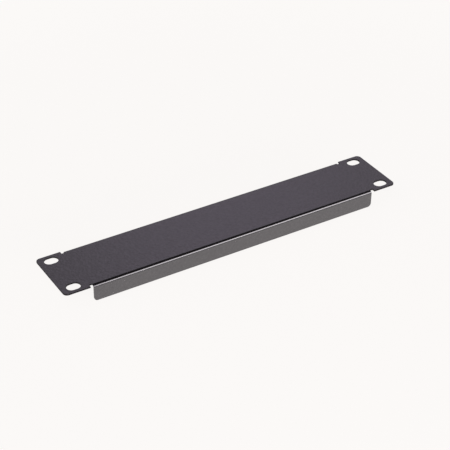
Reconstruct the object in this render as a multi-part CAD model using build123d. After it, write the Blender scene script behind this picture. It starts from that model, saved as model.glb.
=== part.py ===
from build123d import *
from math import isclose
import os

# Blanking panel for a 10-inch rack, one rack unit high: a single folded steel sheet.
# It lies face up on the edges of its two flanges.
# X runs along the panel, Y across it and Z out of its front face.
# The origin is level with the flange edges, under the middle of the face.

# Sheet
SHEET_THICKNESS = 1.0
BEND_INSIDE_RADIUS = 1.2
ROLLOVER_RADIUS = 0.2  # where the punch enters, on the outer skin; the inner skin's edges stay square

# Front face
PANEL_LENGTH = 254.0
RACK_UNIT_HEIGHT = 44.45
STACKING_CLEARANCE = 0.79  # left free between two panels in neighbouring units

# Ears, from each end of the panel to the flanges
EAR_LENGTH = 20.0
EAR_CORNER_RADIUS = 3.0

# Flanges, folded back along both long edges
FLANGE_DEPTH = 12.2  # from the front of the face to the edge of the flange
FLANGE_CORNER_RADIUS = 2.5

# Relief notches, between each ear and the flange beside it
NOTCH_WIDTH = 2.2
NOTCH_CORNER_RADIUS = 0.2

# Mounting slots, one near each corner of the face
SLOT_LENGTH = 9.5
SLOT_WIDTH = 7.0
SLOT_TO_PANEL_END = 8.7375  # slot centre to the end of the panel
SLOT_TO_UNIT_EDGE = 6.35  # slot centre to the edge of the rack unit

# Worked out from the sizes above
PANEL_HEIGHT = RACK_UNIT_HEIGHT - STACKING_CLEARANCE
FLANGE_LENGTH = PANEL_LENGTH - 2 * EAR_LENGTH
REAR_FACE = FLANGE_DEPTH - SHEET_THICKNESS
BEND_OUTSIDE_RADIUS = BEND_INSIDE_RADIUS + SHEET_THICKNESS
NOTCH_DEPTH = BEND_OUTSIDE_RADIUS + NOTCH_CORNER_RADIUS
SLOT_SPACING_X = PANEL_LENGTH - 2 * SLOT_TO_PANEL_END
SLOT_SPACING_Y = RACK_UNIT_HEIGHT - 2 * SLOT_TO_UNIT_EDGE


def fold_profile(height, depth, bend_radius):
    """Outline of one skin of the folded sheet, seen from its end, with its back edge at Y = 0."""
    outline = Pos(0, depth / 2) * Rectangle(height, depth)
    front_corners = outline.vertices().group_by(Axis.Y)[-1]
    return fillet(front_corners, bend_radius)


def folded_channel():
    """Face and both flanges: the sheet between its outer and inner skins, whose bends share a centre."""
    outer = fold_profile(PANEL_HEIGHT, FLANGE_DEPTH, BEND_OUTSIDE_RADIUS)
    inner = fold_profile(PANEL_HEIGHT - 2 * SHEET_THICKNESS, REAR_FACE, BEND_INSIDE_RADIUS)
    return extrude(Plane.YZ * (outer - inner), FLANGE_LENGTH / 2, both=True)


def right_ear():
    """Flat ear at the +X end of the face, with its outer corners rounded."""
    outline = Rectangle(EAR_LENGTH, PANEL_HEIGHT)
    outer_corners = outline.vertices().group_by(Axis.X)[-1]
    plate = extrude(fillet(outer_corners, EAR_CORNER_RADIUS), SHEET_THICKNESS)
    return Pos((FLANGE_LENGTH + EAR_LENGTH) / 2, 0, REAR_FACE) * plate


def relief_notches():
    """Cutters for the four notches. Each goes in past its bend, so that the fold ends clear of the ear."""
    outline = RectangleRounded(NOTCH_WIDTH, 2 * NOTCH_DEPTH, NOTCH_CORNER_RADIUS)
    cutter = extrude(outline, FLANGE_DEPTH)
    corners = GridLocations(FLANGE_LENGTH + NOTCH_WIDTH, PANEL_HEIGHT, 2, 2)
    return [corner * cutter for corner in corners]


def mounting_slots():
    """Cutters for the four round-ended slots, which run along the panel."""
    cutter = extrude(SlotOverall(SLOT_LENGTH, SLOT_WIDTH), FLANGE_DEPTH)
    corners = GridLocations(SLOT_SPACING_X, SLOT_SPACING_Y, 2, 2)
    return [corner * cutter for corner in corners]


def is_bend_line(edge):
    """True for a long edge where the flat face runs smoothly into a bend."""
    bend_line = PANEL_HEIGHT / 2 - BEND_OUTSIDE_RADIUS
    return edge.geom_type == GeomType.LINE and isclose(abs(edge.center().Y), bend_line, abs_tol=1e-6)


def blanking_panel():
    """The whole sheet: folded, notched, slotted, and with the edges of its outer skin rolled over."""
    ear = right_ear()
    sheet = folded_channel() + ear + mirror(ear, Plane.YZ)
    sheet -= relief_notches()
    sheet -= mounting_slots()
    flange_corners = sheet.edges().filter_by(Axis.Y).group_by(Axis.Z)[0]
    sheet = fillet(flange_corners, FLANGE_CORNER_RADIUS)
    face_edges = sheet.faces().sort_by(Axis.Z)[-1].edges()
    # From the face, the fillet runs on around the bends and along the outer edges of the flanges.
    return fillet([edge for edge in face_edges if not is_bend_line(edge)], ROLLOVER_RADIUS)


os.makedirs("parts", exist_ok=True)
export_step(blanking_panel(), "parts/blanking_panel.step")
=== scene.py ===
import math

import bpy
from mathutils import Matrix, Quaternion, Vector

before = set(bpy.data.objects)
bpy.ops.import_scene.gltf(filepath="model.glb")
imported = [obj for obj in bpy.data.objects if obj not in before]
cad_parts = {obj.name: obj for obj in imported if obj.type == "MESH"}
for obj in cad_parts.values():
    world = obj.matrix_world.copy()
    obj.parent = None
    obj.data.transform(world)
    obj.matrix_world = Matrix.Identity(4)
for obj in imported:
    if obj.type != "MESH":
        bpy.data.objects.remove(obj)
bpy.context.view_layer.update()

# ---------------------------------------------------------------- folded sheet
# One steel sheet, punched and folded along both long edges, then sprayed with
# black powder and baked. The coat is satin with a fine orange peel. It is rubbed to
# a glossier black on the bends, which also carry painted shade, a darker black. It
# lies thin and dull on punched edges, which carry painted shade too, a darker black.

COAT_BLACK = (0.0195, 0.0178, 0.0195)
COAT_BLACK_PALER = (0.025, 0.0228, 0.025)
# painted shade: a darker black on the bends, for the dark line along the front bend
BEND_SHADE_BLACK = (0.006, 0.0055, 0.006)
# the punched edges: a thin, dull coat, and painted shade making their black darker
EDGE_SHADE_BLACK = (0.009, 0.008, 0.009)
COAT_ROUGHNESS = (0.15, 0.19)
EDGE_ROUGHNESS = 0.6
COAT_IOR = 1.85
COAT_GLOSS = (0.33, 0.67)
EDGE_GLOSS = 0.08
CROWN_ROUGHNESS = 0.12
CROWN_IOR = 3.3
CLOUD_PER_METRE = 60
CLOUD_DETAIL = 4
GRAIN_PER_METRE = 600
GRAIN_DETAIL = 3
PEEL_PER_METRE = 600
PEEL_DETAIL = 2
PEEL_HEIGHT = 0.00011
EAR_START = 0.10695  # just inside the notch, along the panel
EAR_BACK = 0.01123  # just in front of the back of the ear
EDGE_TOP = 0.01218  # up from the table, just below the front of the face
EDGE_FULL = 0.01208  # from here down the edge is wholly dull
BEND_START = (0.0198, 0.0201)  # across the panel, where the face runs into the bend
BEND_END = (0.0103, 0.0108)  # up from the table, where the bend runs into the flange
CROWN_SIDE = 0.0209  # across the panel, beyond the inner skin
CROWN_HEIGHT = 0.0115  # up from the table
CROWN_FULL = 0.00052  # above and below the crown, as far as it has its full gloss
CROWN_REACH = 0.00064  # where that gloss ends

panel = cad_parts["blanking_panel"]

coat = bpy.data.materials.new("black_powder_coat")
coat.use_nodes = True
nodes = coat.node_tree.nodes
links = coat.node_tree.links
shader = nodes["Principled BSDF"]
shader.inputs["IOR"].default_value = COAT_IOR
place = nodes.new("ShaderNodeTexCoord")

# where the punched edges of the ears are
parts = nodes.new("ShaderNodeSeparateXYZ")
links.new(place.outputs["Object"], parts.inputs[0])
along = nodes.new("ShaderNodeMath")
along.operation = "ABSOLUTE"
links.new(parts.outputs["X"], along.inputs[0])
on_ear = nodes.new("ShaderNodeMath")
on_ear.operation = "GREATER_THAN"
on_ear.inputs[1].default_value = EAR_START
links.new(along.outputs[0], on_ear.inputs[0])
below_face = nodes.new("ShaderNodeMapRange")
below_face.inputs["From Min"].default_value = EDGE_TOP
below_face.inputs["From Max"].default_value = EDGE_FULL
links.new(parts.outputs["Z"], below_face.inputs["Value"])
above_back = nodes.new("ShaderNodeMath")
above_back.operation = "GREATER_THAN"
above_back.inputs[1].default_value = EAR_BACK
links.new(parts.outputs["Z"], above_back.inputs[0])
between = nodes.new("ShaderNodeMath")
between.operation = "MULTIPLY"
links.new(below_face.outputs["Result"], between.inputs[0])
links.new(above_back.outputs[0], between.inputs[1])
edge = nodes.new("ShaderNodeMath")
edge.operation = "MULTIPLY"
links.new(on_ear.outputs[0], edge.inputs[0])
links.new(between.outputs[0], edge.inputs[1])

# where the crown of each bend is, with its hard gloss
across = nodes.new("ShaderNodeMath")
across.operation = "ABSOLUTE"
links.new(parts.outputs["Y"], across.inputs[0])
outer_side = nodes.new("ShaderNodeMath")
outer_side.operation = "GREATER_THAN"
outer_side.inputs[1].default_value = CROWN_SIDE
links.new(across.outputs[0], outer_side.inputs[0])
from_crown = nodes.new("ShaderNodeMath")
from_crown.operation = "SUBTRACT"
from_crown.inputs[1].default_value = CROWN_HEIGHT
links.new(parts.outputs["Z"], from_crown.inputs[0])
off_crown = nodes.new("ShaderNodeMath")
off_crown.operation = "ABSOLUTE"
links.new(from_crown.outputs[0], off_crown.inputs[0])
at_crown = nodes.new("ShaderNodeMapRange")
at_crown.inputs["From Min"].default_value = CROWN_REACH
at_crown.inputs["From Max"].default_value = CROWN_FULL
links.new(off_crown.outputs[0], at_crown.inputs["Value"])
on_bend = nodes.new("ShaderNodeMath")
on_bend.operation = "MULTIPLY"
links.new(outer_side.outputs[0], on_bend.inputs[0])
links.new(at_crown.outputs["Result"], on_bend.inputs[1])
crown = nodes.new("ShaderNodeMath")
crown.operation = "SUBTRACT"
crown.use_clamp = True
links.new(on_bend.outputs[0], crown.inputs[0])
links.new(on_ear.outputs[0], crown.inputs[1])
links.new(crown.outputs[0], shader.inputs["Coat Weight"])
shader.inputs["Coat Roughness"].default_value = CROWN_ROUGHNESS
shader.inputs["Coat IOR"].default_value = CROWN_IOR

# the black, cloudy on the flat of the sheet, with painted shade making it darker on
# the bends and the edges
clouds = nodes.new("ShaderNodeTexNoise")
clouds.inputs["Scale"].default_value = CLOUD_PER_METRE
clouds.inputs["Detail"].default_value = CLOUD_DETAIL
links.new(place.outputs["Object"], clouds.inputs["Vector"])
tone = nodes.new("ShaderNodeMix")
tone.data_type = "RGBA"
tone.inputs["A"].default_value = (*COAT_BLACK, 1)
tone.inputs["B"].default_value = (*COAT_BLACK_PALER, 1)
links.new(clouds.outputs["Fac"], tone.inputs["Factor"])
past_face = nodes.new("ShaderNodeMapRange")
past_face.inputs["From Min"].default_value = BEND_START[0]
past_face.inputs["From Max"].default_value = BEND_START[1]
links.new(across.outputs[0], past_face.inputs["Value"])
above_flange = nodes.new("ShaderNodeMapRange")
above_flange.inputs["From Min"].default_value = BEND_END[0]
above_flange.inputs["From Max"].default_value = BEND_END[1]
links.new(parts.outputs["Z"], above_flange.inputs["Value"])
round_bend = nodes.new("ShaderNodeMath")
round_bend.operation = "MULTIPLY"
links.new(past_face.outputs["Result"], round_bend.inputs[0])
links.new(above_flange.outputs["Result"], round_bend.inputs[1])
# painted shade over the round of each bend, left off the ears
painted_bend_shade = nodes.new("ShaderNodeMath")
painted_bend_shade.operation = "SUBTRACT"
painted_bend_shade.use_clamp = True
links.new(round_bend.outputs[0], painted_bend_shade.inputs[0])
links.new(on_ear.outputs[0], painted_bend_shade.inputs[1])
shaded_bend_tone = nodes.new("ShaderNodeMix")
shaded_bend_tone.data_type = "RGBA"
shaded_bend_tone.inputs["B"].default_value = (*BEND_SHADE_BLACK, 1)
links.new(painted_bend_shade.outputs[0], shaded_bend_tone.inputs["Factor"])
links.new(tone.outputs["Result"], shaded_bend_tone.inputs["A"])
# painted shade on the punched edges of the ears: a darker black on top of their dull
# coat
colour = nodes.new("ShaderNodeMix")
colour.data_type = "RGBA"
colour.inputs["B"].default_value = (*EDGE_SHADE_BLACK, 1)
links.new(edge.outputs[0], colour.inputs["Factor"])
links.new(shaded_bend_tone.outputs["Result"], colour.inputs["A"])
links.new(colour.outputs["Result"], shader.inputs["Base Color"])

# how rough the coat is
satin = nodes.new("ShaderNodeMapRange")
satin.inputs["To Min"].default_value = COAT_ROUGHNESS[0]
satin.inputs["To Max"].default_value = COAT_ROUGHNESS[1]
links.new(clouds.outputs["Fac"], satin.inputs["Value"])
dull = nodes.new("ShaderNodeMix")
dull.inputs["B"].default_value = EDGE_ROUGHNESS
links.new(edge.outputs[0], dull.inputs["Factor"])
links.new(satin.outputs["Result"], dull.inputs["A"])
links.new(dull.outputs["Result"], shader.inputs["Roughness"])

# how much it shines, grain by grain
grain = nodes.new("ShaderNodeTexNoise")
grain.inputs["Scale"].default_value = GRAIN_PER_METRE
grain.inputs["Detail"].default_value = GRAIN_DETAIL
links.new(place.outputs["Object"], grain.inputs["Vector"])
gloss = nodes.new("ShaderNodeMapRange")
gloss.inputs["To Min"].default_value = COAT_GLOSS[0]
gloss.inputs["To Max"].default_value = COAT_GLOSS[1]
links.new(grain.outputs["Fac"], gloss.inputs["Value"])
matt = nodes.new("ShaderNodeMix")
matt.inputs["B"].default_value = EDGE_GLOSS
links.new(edge.outputs[0], matt.inputs["Factor"])
links.new(gloss.outputs["Result"], matt.inputs["A"])
links.new(matt.outputs["Result"], shader.inputs["Specular IOR Level"])

# the orange peel
peel = nodes.new("ShaderNodeTexNoise")
peel.inputs["Scale"].default_value = PEEL_PER_METRE
peel.inputs["Detail"].default_value = PEEL_DETAIL
links.new(place.outputs["Object"], peel.inputs["Vector"])
bump = nodes.new("ShaderNodeBump")
bump.inputs["Strength"].default_value = 1
bump.inputs["Distance"].default_value = PEEL_HEIGHT
links.new(peel.outputs["Fac"], bump.inputs["Height"])
links.new(bump.outputs["Normal"], shader.inputs["Normal"])

panel.material_slots[0].material = coat

# ---------------------------------------------------------------- studio floor
# A pale table top under even light. It shows a faint shadow of the sheet and runs
# into the white of the room further out. It is see-through from below, so that the
# back of the sheet can be looked at too.

FLOOR_SIZE = 8.0
FLOOR_WHITE = (0.978, 0.959, 0.942)
FLOOR_PAINT = (0.9, 0.9, 0.9)
SHADOW_SHARE = 0.05
SHADOW_REACH = (0.2, 0.6)  # from the middle of the sheet, from the full share to none

bpy.ops.mesh.primitive_plane_add(size=FLOOR_SIZE, location=(0, 0, 0))
floor = bpy.context.object
floor.name = "floor"
table = bpy.data.materials.new("white_table")
table.use_nodes = True
nodes = table.node_tree.nodes
links = table.node_tree.links
nodes.clear()
end = nodes.new("ShaderNodeOutputMaterial")
path = nodes.new("ShaderNodeLightPath")
geometry = nodes.new("ShaderNodeNewGeometry")
paint = nodes.new("ShaderNodeBsdfDiffuse")
paint.inputs["Color"].default_value = (*FLOOR_PAINT, 1)
white = nodes.new("ShaderNodeEmission")
white.inputs["Color"].default_value = (*FLOOR_WHITE, 1)
clear = nodes.new("ShaderNodeBsdfTransparent")

# how much of the table is plain white: none for the light that it throws back on the
# sheet, nearly all where it is seen or mirrored, and all of it further out
seen_or_mirrored = nodes.new("ShaderNodeMath")
seen_or_mirrored.operation = "MAXIMUM"
seen_at_all = nodes.new("ShaderNodeMath")
seen_at_all.operation = "MAXIMUM"
place = nodes.new("ShaderNodeTexCoord")
away = nodes.new("ShaderNodeVectorMath")
away.operation = "LENGTH"
links.new(place.outputs["Object"], away.inputs[0])
white_share = nodes.new("ShaderNodeMapRange")
white_share.interpolation_type = "SMOOTHSTEP"
white_share.inputs["From Min"].default_value = SHADOW_REACH[0]
white_share.inputs["From Max"].default_value = SHADOW_REACH[1]
white_share.inputs["To Min"].default_value = 1 - SHADOW_SHARE
white_share.inputs["To Max"].default_value = 1
links.new(away.outputs["Value"], white_share.inputs["Value"])
share = nodes.new("ShaderNodeMath")
share.operation = "MULTIPLY"
links.new(white_share.outputs["Result"], share.inputs[1])
links.new(path.outputs["Is Camera Ray"], seen_or_mirrored.inputs[0])
links.new(path.outputs["Is Glossy Ray"], seen_or_mirrored.inputs[1])
links.new(seen_or_mirrored.outputs[0], seen_at_all.inputs[0])
links.new(path.outputs["Is Transmission Ray"], seen_at_all.inputs[1])
links.new(seen_at_all.outputs[0], share.inputs[0])

top_side = nodes.new("ShaderNodeMixShader")
links.new(share.outputs[0], top_side.inputs["Fac"])
links.new(paint.outputs[0], top_side.inputs[1])
links.new(white.outputs[0], top_side.inputs[2])
both_sides = nodes.new("ShaderNodeMixShader")
links.new(geometry.outputs["Backfacing"], both_sides.inputs["Fac"])
links.new(top_side.outputs[0], both_sides.inputs[1])
links.new(clear.outputs[0], both_sides.inputs[2])
links.new(both_sides.outputs[0], end.inputs["Surface"])
floor.data.materials.append(table)

# ---------------------------------------------------------------- studio walls
# An evenly pale room with a soft glow on the wall behind, and a black screen hung
# overhead to the right, for the satin coat to mirror. Seen directly, the room is as
# pale as the floor.

WALL_LIGHT = (0.437, 0.402, 0.46)
SCREEN_BLACK = (0.0, 0.0, 0.0)
SCREEN_FOOT = (0.66, 0.76)  # how far the direction points up, from pale to black
SCREEN_SIDE = (-0.15, 0.12)  # how far it points right, from pale to black
GLOW_DIRECTION = (0.435, 0.705, 0.553)
GLOW_WIDTH = math.radians(9)
GLOW_LIGHT = (0.25, 0.205, 0.285)

world = bpy.data.worlds.new("studio")
bpy.context.scene.world = world
world.use_nodes = True
nodes = world.node_tree.nodes
links = world.node_tree.links
background = nodes["Background"]
place = nodes.new("ShaderNodeTexCoord")
parts = nodes.new("ShaderNodeSeparateXYZ")
links.new(place.outputs["Generated"], parts.inputs[0])
overhead = nodes.new("ShaderNodeMapRange")
overhead.interpolation_type = "SMOOTHSTEP"
overhead.inputs["From Min"].default_value = SCREEN_FOOT[0]
overhead.inputs["From Max"].default_value = SCREEN_FOOT[1]
links.new(parts.outputs["Z"], overhead.inputs["Value"])
to_the_right = nodes.new("ShaderNodeMapRange")
to_the_right.interpolation_type = "SMOOTHSTEP"
to_the_right.inputs["From Min"].default_value = SCREEN_SIDE[0]
to_the_right.inputs["From Max"].default_value = SCREEN_SIDE[1]
links.new(parts.outputs["X"], to_the_right.inputs["Value"])
screen = nodes.new("ShaderNodeMath")
screen.operation = "MULTIPLY"
links.new(overhead.outputs["Result"], screen.inputs[0])
links.new(to_the_right.outputs["Result"], screen.inputs[1])
wall = nodes.new("ShaderNodeMix")
wall.data_type = "RGBA"
wall.inputs["A"].default_value = (*WALL_LIGHT, 1)
wall.inputs["B"].default_value = (*SCREEN_BLACK, 1)
links.new(screen.outputs[0], wall.inputs["Factor"])
towards_glow = nodes.new("ShaderNodeVectorMath")
towards_glow.operation = "DOT_PRODUCT"
towards_glow.inputs[1].default_value = Vector(GLOW_DIRECTION).normalized()
links.new(place.outputs["Generated"], towards_glow.inputs[0])
glow = nodes.new("ShaderNodeMapRange")
glow.interpolation_type = "SMOOTHSTEP"
glow.inputs["From Min"].default_value = math.cos(GLOW_WIDTH)
glow.inputs["From Max"].default_value = 1
links.new(towards_glow.outputs["Value"], glow.inputs["Value"])
lit_wall = nodes.new("ShaderNodeMix")
lit_wall.data_type = "RGBA"
lit_wall.blend_type = "ADD"
lit_wall.inputs["B"].default_value = (*GLOW_LIGHT, 1)
links.new(glow.outputs["Result"], lit_wall.inputs["Factor"])
links.new(wall.outputs["Result"], lit_wall.inputs["A"])
path = nodes.new("ShaderNodeLightPath")
room = nodes.new("ShaderNodeMix")
room.data_type = "RGBA"
room.inputs["B"].default_value = (*FLOOR_WHITE, 1)
links.new(path.outputs["Is Camera Ray"], room.inputs["Factor"])
links.new(lit_wall.outputs["Result"], room.inputs["A"])
links.new(room.outputs["Result"], background.inputs["Color"])

# ---------------------------------------------------------------- lamps
# A low soft lamp in front lights the front flange, and a weak one above the rest.
# The coat mirrors neither. It mirrors only a small window in front, to the right,
# which draws the line of light along the front bend.


def soft_lamp(name, direction, distance, width, height, watts, colour=(1, 1, 1)):
    """A flat lamp out in that direction, facing the sheet, unseen by the camera."""
    data = bpy.data.lights.new(name, "AREA")
    data.shape = "RECTANGLE"
    data.size = width
    data.size_y = height
    data.energy = watts
    data.color = colour
    lamp = bpy.data.objects.new(name, data)
    away = Vector(direction).normalized()
    lamp.location = away * distance
    lamp.rotation_mode = "QUATERNION"
    lamp.rotation_quaternion = away.to_track_quat("Z", "Y")
    lamp.visible_camera = False
    bpy.context.scene.collection.objects.link(lamp)
    return lamp


front_lamp = soft_lamp(
    "front_lamp", direction=(0.03, -0.95, 0.11), distance=1.2,
    width=1.2, height=0.26, watts=32, colour=(1.0, 0.94, 0.915),
)
front_lamp.visible_glossy = False
top_lamp = soft_lamp(
    "top_lamp", direction=(-0.55, 0.15, 0.83), distance=1.8,
    width=1.4, height=1.4, watts=8,
)
top_lamp.visible_glossy = False
window = soft_lamp(
    "window", direction=(0.46, -0.78, 0.50), distance=3.0,
    width=1.05, height=1.1, watts=5.4, colour=(1.0, 0.96, 0.95),
)
window.visible_diffuse = False

# ---------------------------------------------------------------- camera
# A long lens about a metre away, to the left in front and above, turned to the
# middle of the sheet. The first angle is counted from straight in front.

CAMERA_AZIMUTH = math.radians(-31.826)
CAMERA_ELEVATION = math.radians(34.149)
CAMERA_ROLL = math.radians(0.773)
CAMERA_DISTANCE = 0.9416
CAMERA_TARGET = Vector((0.00765, 0.00942, 0))
SENSOR_WIDTH = 36.0
LENS = 111.07

towards_camera = Vector((
    math.sin(CAMERA_AZIMUTH) * math.cos(CAMERA_ELEVATION),
    -math.cos(CAMERA_AZIMUTH) * math.cos(CAMERA_ELEVATION),
    math.sin(CAMERA_ELEVATION),
))
lens = bpy.data.cameras.new("camera")
lens.sensor_width = SENSOR_WIDTH
lens.lens = LENS
camera = bpy.data.objects.new("camera", lens)
camera.location = CAMERA_TARGET + towards_camera * CAMERA_DISTANCE
roll = Quaternion((0, 0, 1), CAMERA_ROLL)
camera.rotation_mode = "QUATERNION"
camera.rotation_quaternion = (-towards_camera).to_track_quat("-Z", "Y") @ roll
bpy.context.scene.collection.objects.link(camera)
bpy.context.scene.camera = camera
bpy.context.scene.view_settings.view_transform = "Standard"
